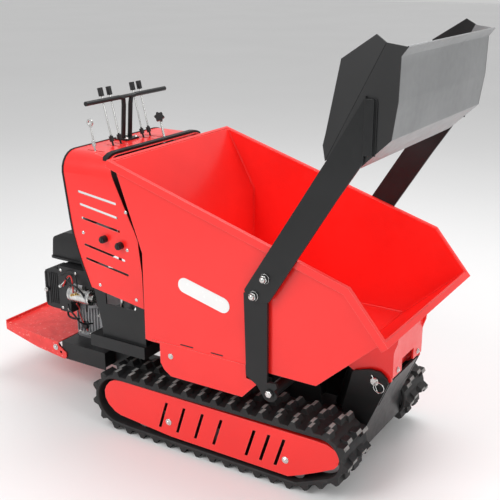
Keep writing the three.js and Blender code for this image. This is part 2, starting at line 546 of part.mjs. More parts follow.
// Cross-section of the bent sheet at an offset outwards.
function archYZ(d, floor = 300) {
  const { half, top, corner } = CONSOLE;
  return [[-half - d, floor], [half + d, floor],
    ...circle(half - corner, top - corner, corner + d, 6, 0, 90),
    ...circle(corner - half, top - corner, corner + d, 6, 90, 180)];
}
function consoleShell() {
  const side = [...shifted(REAR_EDGE, TRIM + GAP), ...FRONT_EDGE];
  const bent = cut(slabYZ(archYZ(0), -480, -100), slabYZ(archYZ(-CONSOLE.sheet), -490, -90));
  const slots = [[[-386, 871], [-224, 849]], [[-381, 826], [-219, 800]], [[-376, 777], [-212, 753]],
    [[-370, 680], [-195, 651]], [[-365, 629], [-182, 600]]].map(([a, b]) => {
    const tilt = Math.atan2(b[1] - a[1], b[0] - a[0]) * 180 / Math.PI;
    return both(slabXZ([...circle(...a, 4.5, 4, tilt + 90, tilt + 270), ...circle(...b, 4.5, 4, tilt - 90, tilt + 90)],
      -310, -290));
  });
  const gates = [...LEVERS, THROTTLE_Y].map((y) => box(-402, -324, y - 5, y + 5, 990, 1010));
  const stemHole = rod([STAR.x - 4.5, STAR.y + 1, 990], [STAR.x - 4.5, STAR.y + 1, 1010], 11, 14);
  return cut(bent.intersect(slabXZ(side, -320, 320)), slots, gates, stemHole);
}
place('console_shell', consoleShell(), RED);

function consoleTrim() {
  return cut(slabYZ(archYZ(2), -490, -330), slabYZ(archYZ(-5), -500, -320))
    .intersect(slabXZ(sheetLine(REAR_EDGE, TRIM), -303, 303));
}
place('console_trim', consoleTrim(), RUBBER);

place('console_seal', cut(slabYZ(archYZ(9), -290, -268), slabYZ(archYZ(GAP), -300, -260))
  .intersect(box(-290, -268, -275, 275, 960, 1020)), RUBBER);

function consoleFrame() {
  const side = slabXZ([[-374, 610], [-345, 523], [-316, 396], [-310, 341], [-116, 341], [-120, 488], [-124, 610]],
    -296.7, -290.7);
  const sideHole = box(-290, -155, -310, -280, 470, 540);
  const floor = box(-361, -114, -310, 310, 341, 345);
  const skirts = both(box(-361, -114, -310, -306, 300, 345));
  const ends = [both(box(-361, -357, -310, -140, 300, 345)), both(box(-118, -114, -310, -140, 300, 345))];
  const bulkhead = slabXZ(sheetLine([[-136, 341], [-148, 720], [-184, 800], [-270, 978]], 4), -291, 291)
    .intersect(slabYZ(archYZ(-CONSOLE.sheet - GAP), -400, -100));
  const shelf = box(-300, -180, -120, 110, 790, 796);
  const [lx, lz] = LEVER_PIVOT;
  const rack = [[-244, -240], [124, 128]].map(([a, b]) => box(lx - 9, -262, a, b, lz - 9, lz + 25));
  const shaft = rodY(LEVER_PIVOT, 5, -244, 128, 12);
  const starPin = rodY([STAR.x, STAR.z], 3.5, STAR.y - 12, 128, 10);
  const holes = [rod([-238, -270, 330], [-238, -270, 350], 6.4, 12),
    rod([-177, -255, 330], [-177, -255, 350], 6.4, 12)];
  return join(cut(join(both(side), floor, skirts, ends), sideHole, holes), bulkhead, shelf, rack, shaft, starPin);
}
place('console_frame', consoleFrame(), BLACK);

place('valve_block', join(box(-300, -240, -115, 105, 796.3, 872),
  [-100, -60, 0, 40, 80].map((y) => rod([-270, y, 870], [-270, y, 892], 11, 12))), CAST);
place('hydraulic_pipe_1', bentTube([[-238, -270, 341.5], [-238, -270, 850], [-238, -115.4, 850]], 6, 30), ZINC);
place('hydraulic_pipe_2', bentTube([[-177, -255, 341.5], [-177, -255, 690], [-272, -232, 826],
  [-272, -115.4, 826]], 6, 30), ZINC);

// ---- handle and controls --------------------------------------------------------------------------
function tHandle() {
  const foot = box(-440, -378, -35, 35, 1003.3, 1009);
  const arm = bentTube([[-410, 19, 1006], [-398, 19, 1163], [-398, 225, 1163]], 8.5, 18, 12);
  const bridge = rodY([-398, 1163], 7, -40, 40, 12);
  return join(foot, both(arm), bridge);
}
place('t_handle', tHandle(), PLASTIC);

// Rod lever on the cross shaft, with a boot above the console top and a grip.
function lever(y, foot, tip, { gripR, gripFrom, bootR }) {
  const p = new THREE.Vector3(LEVER_PIVOT[0], y, LEVER_PIVOT[1]);
  const f = new THREE.Vector3(foot, y, CONSOLE.top);
  const t = new THREE.Vector3(...tip);
  const up = f.clone().sub(p).normalize();
  const bent = f.clone().addScaledVector(up, 20);
  const low = (s) => p.clone().addScaledVector(up, s).toArray();
  const high = (z) => bent.clone().lerp(t, (z - bent.z) / (t.z - bent.z)).toArray();
  return join(cut(join(rodY(LEVER_PIVOT, 10, y - 6, y + 6, 14), rod(low(7), bent.toArray(), 3.5, 10)),
    rodY(LEVER_PIVOT, 5.4, y - 20, y + 20, 12)),
  rod(low(54), low(74), bootR, 12), ball(bent.toArray(), 4.6, 8), rod(bent.toArray(), high(tip[2] - 4), 3.5, 10),
  rod(high(gripFrom), t.toArray(), gripR, 14));
}
[[-372, -428], [-372, -426], [-374, -428], [-375, -430]].forEach(([foot, tip], i) => {
  place(`control_lever_${i + 1}`, lever(LEVERS[i], foot, [tip, LEVERS[i] + 7, 1203],
    { gripR: 10, gripFrom: 1174, bootR: 8 }), PLASTIC);
});
place('throttle_lever', lever(THROTTLE_Y, -368, [-383, THROTTLE_Y, 1090], { gripR: 6, gripFrom: 1084, bootR: 7 })
  .add(cut(rodY([-385, 1100], 13, THROTTLE_Y - 3, THROTTLE_Y + 3, 16), rodY([-385, 1100], 7, -240, -200, 12))),
ZINC);

function starParts() {
  const axis = new THREE.Vector3(...STAR.axis).normalize();
  const c = new THREE.Vector3(...STAR.knob);
  const behind = (s) => c.clone().addScaledVector(axis, -s).toArray();
  const foot = [STAR.x, STAR.y, STAR.z];
  const elbow = behind(22);
  const stem = join(rod([foot[0], foot[1], foot[2] + 5], elbow, 4.5, 12), ball(elbow, 6.6, 8),
    rod(elbow, behind(12.3), 5, 12), rodY([STAR.x, STAR.z], 8, STAR.y - 6, STAR.y + 6, 14));
  const side = new THREE.Vector3(0, 0, 1).cross(axis).normalize();
  const up = axis.clone().cross(side);
  const lobes = Array.from({ length: 36 }, (_, k) => {
    const t = (k / 36) * 2 * Math.PI, r = 16.5 + 2.5 * Math.cos(6 * t);
    return [r * Math.cos(t), r * Math.sin(t)];
  });
  const knob = slab(lobes, c.toArray(), side.toArray(), up.toArray(), -12, 10);
  return [cut(stem, rodY([STAR.x, STAR.z], 3.9, STAR.y - 20, STAR.y + 20, 12)), knob];
}
const [starStem, starKnob] = starParts();
place('star_stem', starStem, ZINC);
place('star_knob', starKnob, PLASTIC);

[[-276, 717], [-206, 705]].forEach(([x, z], i) => {
  place(`panel_knob_${i + 1}`, join(rodY([x, z], 13, -317, -300.3, 18), rodY([x, z], 10, -322, -316, 16),
    box(x - 3, x + 3, -324, -320, z - 10, z + 10)), PLASTIC);
});

export default machine;
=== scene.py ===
import math

import bmesh
import bpy
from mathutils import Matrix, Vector


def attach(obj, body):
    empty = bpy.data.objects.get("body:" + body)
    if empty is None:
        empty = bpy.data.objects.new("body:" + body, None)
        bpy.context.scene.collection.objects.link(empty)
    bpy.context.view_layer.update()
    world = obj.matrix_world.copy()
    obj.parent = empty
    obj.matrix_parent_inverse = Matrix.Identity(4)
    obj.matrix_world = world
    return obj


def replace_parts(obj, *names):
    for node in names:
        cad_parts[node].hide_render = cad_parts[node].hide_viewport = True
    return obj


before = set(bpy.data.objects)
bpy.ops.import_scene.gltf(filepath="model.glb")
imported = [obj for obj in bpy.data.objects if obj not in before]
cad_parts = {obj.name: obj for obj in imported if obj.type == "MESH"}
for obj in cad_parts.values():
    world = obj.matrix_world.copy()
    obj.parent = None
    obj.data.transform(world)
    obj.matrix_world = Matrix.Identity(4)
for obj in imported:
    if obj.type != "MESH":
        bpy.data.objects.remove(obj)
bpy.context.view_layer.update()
scene = bpy.context.scene

# The sizes below are in millimetres and count x from the rear kink of the track covers.
SHIFT = 46


def at(x, y, z):
    return Vector(((x + SHIFT) / 1000, y / 1000, z / 1000))


# ---- camera, floor and light ----------------------------------------------------------------------
back = Vector((0.5002, -0.8067, 0.3148)).normalized()
camera = bpy.data.objects.new("camera", bpy.data.cameras.new("camera"))
scene.collection.objects.link(camera)
camera.location = (1.746, -2.534, 1.651)
camera.rotation_mode = "QUATERNION"
camera.rotation_quaternion = (-back).to_track_quat("-Z", "Y")
camera.data.sensor_width = 36
camera.data.lens = 64.1
camera.data.clip_start, camera.data.clip_end = 0.05, 100
scene.camera = camera
scene.view_settings.view_transform = "Standard"

world = bpy.data.worlds.new("studio")
scene.world = world
world.use_nodes = True
world.node_tree.nodes["Background"].inputs["Color"].default_value = (1, 1, 1, 1)
world.node_tree.nodes["Background"].inputs["Strength"].default_value = 0.6


def area(name, place, aim, size, power):
    light = bpy.data.lights.new(name, "AREA")
    light.shape, light.size, light.energy = "DISK", size, power
    obj = bpy.data.objects.new(name, light)
    obj.location = place
    obj.rotation_mode = "QUATERNION"
    obj.rotation_quaternion = (Vector(aim) - Vector(place)).to_track_quat("-Z", "Y")
    scene.collection.objects.link(obj)


area("key", (-1.2, -3.6, 3.6), (0, 0, 0.5), 2.6, 105)
area("top", (0.6, 1.4, 4.2), (0, 0, 0.5), 3.0, 95)
area("front", (4.2, -1.0, 2.4), (0, 0, 0.5), 2.4, 45)

# ---- materials ------------------------------------------------------------------------------------
TONE_SHADE = 0.86  # the second tone of a colour that names none
ROUGH_SPAN = 0.06  # how far roughness drifts either way
COAT_ROUGHNESS = 0.18
FLECK_FADE, FLECK_STRENGTH = 0.08, 0.85
EDGE_HIGHLIGHT_FROM, EDGE_HIGHLIGHT_FULL, EDGE_HIGHLIGHT_STRENGTH = 0.99, 0.9, 0.8  # painted highlight on rounded edges, by the cosine between the face and its rounded edge
BUMP_DISTANCE = 0.0006
EDGE_SAMPLES = 4
SMOOTH_ANGLE = 38  # degrees, on the CAD solids
WELD_DISTANCE = 0.00002
LEVER_ROD_Z = (1.0405, 1.1735)  # heights in metres between which a control lever is bright


def surface(name, colour, rough, metal=0.0, tone=None, tone_scale=6, grain=(600, 0.1), edge=None,
            edge_radius=0.0012, coat=0.0, fleck=None, stretch=None, specular=0.5):
    """Principled surface: large soft tone change, fine grain bump, rounded edges lightened by a painted
    highlight, small flecks.
    """
    m = bpy.data.materials.new(name)
    m.use_nodes = True
    n, link = m.node_tree.nodes, m.node_tree.links.new
    p = n["Principled BSDF"]
    p.inputs["Metallic"].default_value = metal
    p.inputs["Coat Weight"].default_value = coat
    p.inputs["Coat Roughness"].default_value = COAT_ROUGHNESS
    p.inputs["Specular IOR Level"].default_value = specular
    place = n.new("ShaderNodeTexCoord").outputs["Object"]
    if stretch:
        mapping = n.new("ShaderNodeMapping")
        mapping.inputs["Scale"].default_value = stretch
        link(place, mapping.inputs["Vector"])
        grain_place = mapping.outputs["Vector"]
    else:
        grain_place = place

    def noise(scale, detail=3.0, where=None):
        t = n.new("ShaderNodeTexNoise")
        t.inputs["Scale"].default_value = scale
        t.inputs["Detail"].default_value = detail
        link(where or place, t.inputs["Vector"])
        return t.outputs["Fac"]

    def spread(value, lo, hi, to_lo, to_hi):
        r = n.new("ShaderNodeMapRange")
        for key, v in zip(("From Min", "From Max", "To Min", "To Max"), (lo, hi, to_lo, to_hi)):
            r.inputs[key].default_value = v
        link(value, r.inputs["Value"])
        return r.outputs["Result"]

    def blend(mask, a, b):
        x = n.new("ShaderNodeMix")
        x.data_type = "RGBA"
        link(mask, x.inputs["Factor"])
        for letter, v in (("A", a), ("B", b)):
            socket = next(s for s in x.inputs if s.name == letter and s.type == "RGBA")
            if isinstance(v, tuple):
                socket.default_value = (*v, 1)
            else:
                link(v, socket)
        return next(s for s in x.outputs if s.type == "RGBA")

    tone = tone or tuple(c * TONE_SHADE for c in colour)
    out = blend(spread(noise(tone_scale, 5), 0.35, 0.65, 0, 1), colour, tone)
    if fleck:
        colour_of, scale, start = fleck
        out = blend(spread(noise(scale, 4), start, start + FLECK_FADE, 0, FLECK_STRENGTH), out, colour_of)
    round_edge = n.new("ShaderNodeBevel")
    round_edge.samples = EDGE_SAMPLES
    round_edge.inputs["Radius"].default_value = edge_radius
    # The edge colour is a painted highlight laid along the rounded edges.
    if edge:
        facing = n.new("ShaderNodeNewGeometry")
        dot = n.new("ShaderNodeVectorMath")
        dot.operation = "DOT_PRODUCT"
        link(facing.outputs["Normal"], dot.inputs[0])
        link(round_edge.outputs["Normal"], dot.inputs[1])
        mask = spread(dot.outputs["Value"], EDGE_HIGHLIGHT_FROM, EDGE_HIGHLIGHT_FULL, 0, EDGE_HIGHLIGHT_STRENGTH)
        out = blend(mask, out, edge)
    link(out, p.inputs["Base Color"])
    link(spread(noise(40, 4), 0.3, 0.7, rough - ROUGH_SPAN, rough + ROUGH_SPAN), p.inputs["Roughness"])
    scale, strength = grain
    bump = n.new("ShaderNodeBump")
    bump.inputs["Strength"].default_value = strength
    bump.inputs["Distance"].default_value = BUMP_DISTANCE
    link(noise(scale, 2, grain_place), bump.inputs["Height"])
    link(round_edge.outputs["Normal"], bump.inputs["Normal"])
    link(bump.outputs["Normal"], p.inputs["Normal"])
    return m


# Each edge colour below is a painted highlight for the rounded edges.
RED = surface("red_powder", (0.94, 0.018, 0.014), 0.34, tone=(0.87, 0.014, 0.011), tone_scale=4,
              grain=(420, 0.16), edge=(0.98, 0.24, 0.22), edge_radius=0.0018, coat=0.45, specular=0.38)
# The tread's pink flecks are painted highlights on its rough grain.
RED_ROUGH = surface("red_tread", (0.90, 0.04, 0.035), 0.4, tone=(0.78, 0.025, 0.02), tone_scale=30,
                    grain=(160, 0.95), edge=(0.98, 0.24, 0.2), coat=0.2, fleck=((0.95, 0.3, 0.26), 110, 0.62))
BLACK = surface("black_powder", (0.009, 0.0095, 0.0098), 0.4, tone=(0.013, 0.0135, 0.0142), tone_scale=5,
                grain=(480, 0.2), edge=(0.04, 0.04, 0.042), coat=0.08, specular=0.3)
RUBBER = surface("track_rubber", (0.012, 0.012, 0.0135), 0.6, tone=(0.02, 0.0195, 0.019), tone_scale=14,
                 grain=(260, 0.5), edge=(0.035, 0.034, 0.033), edge_radius=0.002, specular=0.4,
                 fleck=((0.045, 0.043, 0.041), 60, 0.66))
WORN = surface("track_lug_top", (0.30, 0.295, 0.285), 0.8, tone=(0.19, 0.187, 0.18), tone_scale=32,
               grain=(220, 0.7), edge=(0.34, 0.335, 0.325), edge_radius=0.001,
               fleck=((0.09, 0.088, 0.085), 90, 0.62))
SEAL = surface("edge_rubber", (0.006, 0.006, 0.0065), 0.5, grain=(500, 0.3), edge=(0.02, 0.02, 0.021),
               specular=0.35)
ZINC = surface("bright_zinc", (0.72, 0.72, 0.71), 0.26, 1.0, tone=(0.58, 0.58, 0.56), tone_scale=40,
               grain=(700, 0.12), edge=(0.9, 0.9, 0.88))
CAST = surface("cast_alloy", (0.42, 0.43, 0.44), 0.52, 0.85, tone=(0.3, 0.3, 0.31), tone_scale=18,
               grain=(330, 0.75), edge=(0.62, 0.62, 0.62), fleck=((0.16, 0.15, 0.14), 45, 0.66))
PLASTIC = surface("black_plastic", (0.009, 0.009, 0.01), 0.42, tone=(0.013, 0.013, 0.014), tone_scale=9,
                  grain=(900, 0.35), edge=(0.03, 0.03, 0.032), specular=0.4)
HEAT = surface("heat_steel", (0.33, 0.31, 0.29), 0.5, 0.9, tone=(0.2, 0.165, 0.14), tone_scale=12,
               grain=(300, 0.4), edge=(0.5, 0.47, 0.43))
WHITE = surface("label_white", (0.86, 0.86, 0.85), 0.24, tone=(0.82, 0.82, 0.81), grain=(900, 0.04), coat=0.4)
# Painted shade: near-black colour for the hollow inside each stitch slit.
SLIT_SHADE = surface("painted_slit_shade", (0.006, 0.005, 0.005), 0.7, grain=(300, 0.2))
BRASS = surface("brass", (0.78, 0.54, 0.2), 0.3, 1.0, tone=(0.6, 0.4, 0.14), tone_scale=60, grain=(500, 0.2))
WIRE_RED = surface("wire_red", (0.6, 0.02, 0.015), 0.4, grain=(800, 0.1), tone_scale=30)
STEEL = surface("satin_steel", (0.34, 0.345, 0.35), 0.4, 0.7, tone=(0.28, 0.285, 0.29), tone_scale=3,
                grain=(90, 0.22), edge=(0.7, 0.7, 0.7), stretch=(12, 0.6, 12),
                fleck=((0.22, 0.22, 0.22), 9, 0.7))


def lever_look():
    """Control lever: black boot and grip, bright rod between them."""
    m = PLASTIC.copy()
    m.name = "lever_two_tone"
    n, link = m.node_tree.nodes, m.node_tree.links.new
    black = n["Principled BSDF"]
    rod = n.new("ShaderNodeBsdfPrincipled")
    rod.inputs["Metallic"].default_value = 1.0
    shine = n.new("ShaderNodeTexNoise")
    shine.inputs["Scale"].default_value = 90
    where = n.new("ShaderNodeTexCoord").outputs["Object"]
    link(where, shine.inputs["Vector"])
    ramp = n.new("ShaderNodeValToRGB")
    ramp.color_ramp.elements[0].color = (0.6, 0.6, 0.59, 1)
    ramp.color_ramp.elements[1].color = (0.85, 0.85, 0.83, 1)
    link(shine.outputs["Fac"], ramp.inputs["Fac"])
    link(ramp.outputs["Color"], rod.inputs["Base Color"])
    rod.inputs["Roughness"].default_value = 0.22
    split = n.new("ShaderNodeSeparateXYZ")
    link(where, split.inputs["Vector"])
    low, high = n.new("ShaderNodeMath"), n.new("ShaderNodeMath")
    low.operation, high.operation = "GREATER_THAN", "LESS_THAN"
    low.inputs[1].default_value, high.inputs[1].default_value = LEVER_ROD_Z
    both = n.new("ShaderNodeMath")
    both.operation = "MULTIPLY"
    for x in (low, high):
        link(split.outputs["Z"], x.inputs[0])
    link(low.outputs[0], both.inputs[0])
    link(high.outputs[0], both.inputs[1])
    mix = n.new("ShaderNodeMixShader")
    link(both.outputs[0], mix.inputs[0])
    link(black.outputs[0], mix.inputs[1])
    link(rod.outputs[0], mix.inputs[2])
    link(mix.outputs[0], n["Material Output"].inputs["Surface"])
    return m


LEVER = lever_look()
CAD_LOOK = {
    RED: ["hopper", "hopper_rim", "hopper_bracket", "console_shell", "track_cover_right", "track_cover_left"],
    RED_ROUGH: ["platform"],
    BLACK: ["chassis_frame", "track_frame_right", "track_frame_left", "engine_base", "loader_shaft",
            "lower_arm_right", "lower_arm_left", "upper_arm_right", "upper_arm_left", "console_frame",
            "tip_ram_barrel", "loader_ram_barrel", "t_handle"],
    SEAL: ["console_trim", "console_seal"],
    ZINC: ["hopper_pin", "tip_ram_rod", "loader_ram_rod", "starter_motor", "hydraulic_pipe_1",
           "hydraulic_pipe_2", "throttle_lever", "star_stem"],
    CAST: ["engine_block", "hydraulic_pump", "valve_block", "drive_sprocket_right", "drive_sprocket_left",
           "idler_wheel_right", "idler_wheel_left"]
    + [f"track_roller_{i}_{s}" for i in (1, 2, 3) for s in ("right", "left")],
    PLASTIC: ["engine_shroud", "fuel_tank", "fuel_cap", "air_filter", "star_knob", "panel_knob_1",
              "panel_knob_2"],
    LEVER: ["control_lever_1", "control_lever_2", "control_lever_3", "control_lever_4"],
    HEAT: ["muffler"],
    WHITE: ["label_plate"],
}


def finish_tree():
    """Joins the loose triangles of a CAD solid and shades its curved faces smooth."""
    tree = bpy.data.node_groups.new("soften", "GeometryNodeTree")
    tree.interface.new_socket("Geometry", in_out="INPUT", socket_type="NodeSocketGeometry")
    tree.interface.new_socket("Geometry", in_out="OUTPUT", socket_type="NodeSocketGeometry")
    n, link = tree.nodes, tree.links.new
    start, end = n.new("NodeGroupInput"), n.new("NodeGroupOutput")
    drop = n.new("GeometryNodeRemoveAttribute")
    drop.inputs["Name"].default_value = "custom_normal"
    weld = n.new("GeometryNodeMergeByDistance")
    weld.inputs["Distance"].default_value = WELD_DISTANCE
    faces = n.new("GeometryNodeSetShadeSmooth")
    faces.domain = "FACE"
    edges = n.new("GeometryNodeSetShadeSmooth")
    edges.domain = "EDGE"
    angle = n.new("GeometryNodeInputMeshEdgeAngle")
    sharp = n.new("FunctionNodeCompare")
    sharp.operation = "LESS_THAN"
    sharp.inputs[1].default_value = math.radians(SMOOTH_ANGLE)
    link(start.outputs[0], drop.inputs["Geometry"])
    link(drop.outputs[0], weld.inputs["Geometry"])
    link(weld.outputs[0], faces.inputs["Geometry"])
    link(faces.outputs[0], edges.inputs["Geometry"])
    link(angle.outputs["Unsigned Angle"], sharp.inputs[0])
    link(sharp.outputs[0], edges.inputs["Shade Smooth"])
    link(edges.outputs[0], end.inputs[0])
    return tree


SOFTEN = finish_tree()
for look, names in CAD_LOOK.items():
    for name in names:
        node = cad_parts[name]
        node.data.materials.clear()
        node.data.materials.append(look)
        node.modifiers.new("soften", "NODES").node_group = SOFTEN

# ---- mesh helpers ---------------------------------------------------------------------------------


def piece(name, bm, materials, body, bevel=0.0, angle=35):
    """Turns a bmesh into a visual piece that rides on a body."""
    bmesh.ops.recalc_face_normals(bm, faces=bm.faces)
    mesh = bpy.data.meshes.new(name)
    bm.to_mesh(mesh)
    bm.free()
    obj = bpy.data.objects.new(name, mesh)
    scene.collection.objects.link(obj)
    for m in materials if isinstance(materials, list) else [materials]:
        mesh.materials.append(m)
    for poly in mesh.polygons:
        poly.use_smooth = True
    mesh.set_sharp_from_angle(angle=math.radians(angle))
    if bevel:
        b = obj.modifiers.new("bevel", "BEVEL")
        b.width, b.segments = bevel / 1000, 2
        b.limit_method, b.angle_limit = "ANGLE", math.radians(angle)
    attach(obj, body)
    return obj


def inset(points, d):
    """A closed counter-clockwise outline moved inwards by d."""
    out = []
    for i, q in enumerate(points):
        p, r = Vector(points[i - 1]), Vector(points[(i + 1) % len(points)])
        q = Vector(q)
        a, b = (q - p).normalized(), (r - q).normalized()
        na, nb = Vector((-a.y, a.x)), Vector((-b.y, b.x))
        out.append(q + (na + nb) * (d / max(0.3, 1 + na.dot(nb))))
    return out


def ring_loft(bm, rings, closed=False, mark_last=None):
    """Joins rings of points with quads, and either joins the last to the first or closes both ends."""
    made = [[bm.verts.new(p) for p in ring] for ring in rings]
    count = len(made[0])
    pairs = list(zip(made, made[1:])) + ([(made[-1], made[0])] if closed else [])
    for a, b in pairs:
        for i in range(count):
            j = (i + 1) % count
            bm.faces.new((a[i], a[j], b[j], b[i]))
    if not closed:
        bm.faces.new(made[0])
        top = bm.faces.new(made[-1])
        if mark_last is not None:
            top.material_index = mark_last


def spin(bm, start, axis, profile, sides=24, turn=0.0):
    """Solid of revolution: profile is a list of (distance along the axis, radius), in millimetres."""
    axis = Vector(axis).normalized()
    side = axis.orthogonal().normalized()
    up = axis.cross(side)
    rings = []
    for s, r in profile:
        rings.append([start + axis * (s / 1000) + (side * math.cos(t) + up * math.sin(t)) * (r / 1000)
                      for t in (turn + 2 * math.pi * k / sides for k in range(sides))])
    ring_loft(bm, rings)


def hex_bolt(bm, start, axis, size, height, washer=1.35, dome=False, turn=0.3):
    """Flange washer, hexagon head with a chamfered crown and, for a cap nut, a dome."""
    spin(bm, start, axis, [(0, size * washer * 0.97), (0.4, size * washer), (1.6, size * washer),
                           (2.0, size * washer * 0.95)], 28)
    spin(bm, start, axis, [(1.4, size), (height * 0.86, size), (height, size * 0.88)], 6, turn)
    if dome:
        r = size * 0.72
        spin(bm, start, axis, [(height * 0.8, r), (height + r * 0.35, r), (height + r * 0.75, r * 0.8),
                               (height + r * 0.98, r * 0.45), (height + r * 1.04, r * 0.1)], 24)
    else:
        spin(bm, start, axis, [(height * 0.9, size * 0.5), (height + 1.6, size * 0.5),
                               (height + 2.2, size * 0.42)], 20)


def dome_screw(bm, start, axis, r):
    spin(bm, start, axis, [(0, r * 1.25), (0.8, r * 1.25), (1.1, r * 1.1)], 24)
    spin(bm, start, axis, [(0.8, r), (r * 0.3, r * 0.94), (r * 0.5, r * 0.7), (r * 0.56, r * 0.42),
                           (r * 0.3, r * 0.36)], 24)


def tube(name, points, r, material, body, closed=False):
    """A round rod or wire along a smooth line."""
    curve = bpy.data.curves.new(name, "CURVE")
    curve.dimensions = "3D"
    curve.bevel_depth = r / 1000
    curve.bevel_resolution = 6
    curve.use_fill_caps = True
    s = curve.splines.new("BEZIER")
    s.bezier_points.add(len(points) - 1)
    for b, p in zip(s.bezier_points, points):
        b.co = p
        b.handle_left_type = b.handle_right_type = "AUTO"
    s.resolution_u = 8
    s.use_cyclic_u = closed
    curve.materials.append(material)
    obj = bpy.data.objects.new(name, curve)
    scene.collection.objects.link(obj)
    dg = bpy.context.evaluated_depsgraph_get()
    mesh = bpy.data.meshes.new_from_object(obj.evaluated_get(dg))
    bpy.data.objects.remove(obj)
    made = bpy.data.objects.new(name, mesh)
    scene.collection.objects.link(made)
    for poly in mesh.polygons:
        poly.use_smooth = True
    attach(made, body)
    return made


# ---- rubber tracks --------------------------------------------------------------------------------
WHEELS = [(-228, 120, 117), (-170, 60, 60), (505, 60, 60), (594, 147, 102)]  # x, z and radius over the lugs
LUG, BAND, PITCH = 18, 14, 60
# Cross-section of the band as (height over its outer face, distance from the middle of the machine).
BELT_SECTION = [(0, 164), (0, 336), (-3, 340), (-11, 340), (-14, 337), (-14, 163), (-11, 160), (-3, 160)]
# The two lugs at each station: across from, across to, and the part of that which is stepped.
LUG_ROWS = ((272, 338, 272, 304), (166, 240, 204, 240))
STEP, LUG_HALF, FOOT_HALF = 10, 7, 17


def hull(points):
    """Counter-clockwise convex outline of the points."""
    pts = sorted(set((round(x, 6), round(y, 6)) for x, y in points))

    def half(seq):
        out = []
        for q in seq:
            while len(out) > 1 and ((out[-1][0] - out[-2][0]) * (q[1] - out[-2][1])
                                    - (out[-1][1] - out[-2][1]) * (q[0] - out[-2][0])) <= 1e-6:
                out.pop()
            out.append(q)
        return out[:-1]
    return half(pts) + half(pts[::-1])


def belt_line(gap, sides=96):
    return hull([(x + (r - gap) * math.cos(2 * math.pi * k / sides),
                  z + (r - gap) * math.sin(2 * math.pi * k / sides))
                 for x, z, r in WHEELS for k in range(sides)])


def stations():
    """Point, direction of travel and outward direction of each lug, on the loop used by the solid part."""
    loop = belt_line(LUG, 32)
    seg = [(Vector(p), Vector(q) - Vector(p)) for p, q in zip(loop, loop[1:] + loop[:1])]
    total = sum(d.length for _, d in seg)
    count = round(total / PITCH)
    out = []
    for k in range(count):
        s, i = (k + 0.4) * total / count, 0
        while s > seg[i][1].length:
            s -= seg[i][1].length
            i += 1
        d = seg[i][1].normalized()
        out.append((seg[i][0] + d * s, d, Vector((d.y, -d.x))))
    return out


def stepped_bar(y0, y1, step_from, step_to, w):
    """Plan outline of a lug as (along, across): one half stands a little further forward."""
    s = STEP
    if step_from == y0:  # the half next to y0 is stepped forward
        return [(-w + s, y0), (w + s, y0), (w + s, step_to), (w, step_to), (w, y1), (-w, y1), (-w, step_to),
                (-w + s, step_to)]
    return [(-w, y0), (w, y0), (w, step_from), (w + s, step_from), (w + s, y1), (-w + s, y1),
            (-w + s, step_from), (-w, step_from)]


def track(side, name):
    bm = bmesh.new()
    outer, inner = belt_line(LUG), belt_line(LUG + BAND)
    line = []
    for i, p in enumerate(outer):
        a, b = Vector(outer[i - 1]), Vector(outer[(i + 1) % len(outer)])
        t = (b - a).normalized()
        line.append((Vector(p), Vector((t.y, -t.x))))
    rings = []
    for p, n in line:
        rings.append([at(p.x + n.x * h, side * y, p.y + n.y * h) for h, y in BELT_SECTION])
    ring_loft(bm, rings, closed=True)
    # Each lug widens towards its foot, and its worn top takes the second material.
    for bar_y0, bar_y1, a, b in LUG_ROWS:
        foot = stepped_bar(bar_y0 - 4, bar_y1 + 1.5, a - 4 if a == bar_y0 else a,
                           b + 1.5 if b == bar_y1 else b, FOOT_HALF)
        plan = stepped_bar(bar_y0, bar_y1, a, b, LUG_HALF)
        small = inset(plan, 1.2)
        for p, d, n in stations():
            def spot(uv, h):
                q = p + d * uv[0] + n * h
                return at(q.x, side * uv[1], q.y)
            ring_loft(bm, [[spot(uv, -2.5) for uv in foot], [spot(uv, LUG - 2.4) for uv in plan],
                           [spot(uv, LUG - 0.4) for uv in small]], mark_last=1)
    return piece(name, bm, [RUBBER, WORN], "chassis", angle=32)


for side, word in ((-1, "right"), (1, "left")):
    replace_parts(track(side, f"belt_{word}"), f"rubber_track_{word}")

# ---- shovel: bare steel pan between black cheeks --------------------------------------------------
CHEEK_Y = 0.35735  # the cheeks stand outside this, in metres
PAN_FOOT = ((598 + SHIFT) / 1000, 1.106)  # x and z of the foot of the pan's rear sheet
PAN_RISE, PAN_RUN = 331, 168
PAINT_BEHIND = -1.3  # in metres times the slope numbers above: 3.5 mm behind the line of the sheet


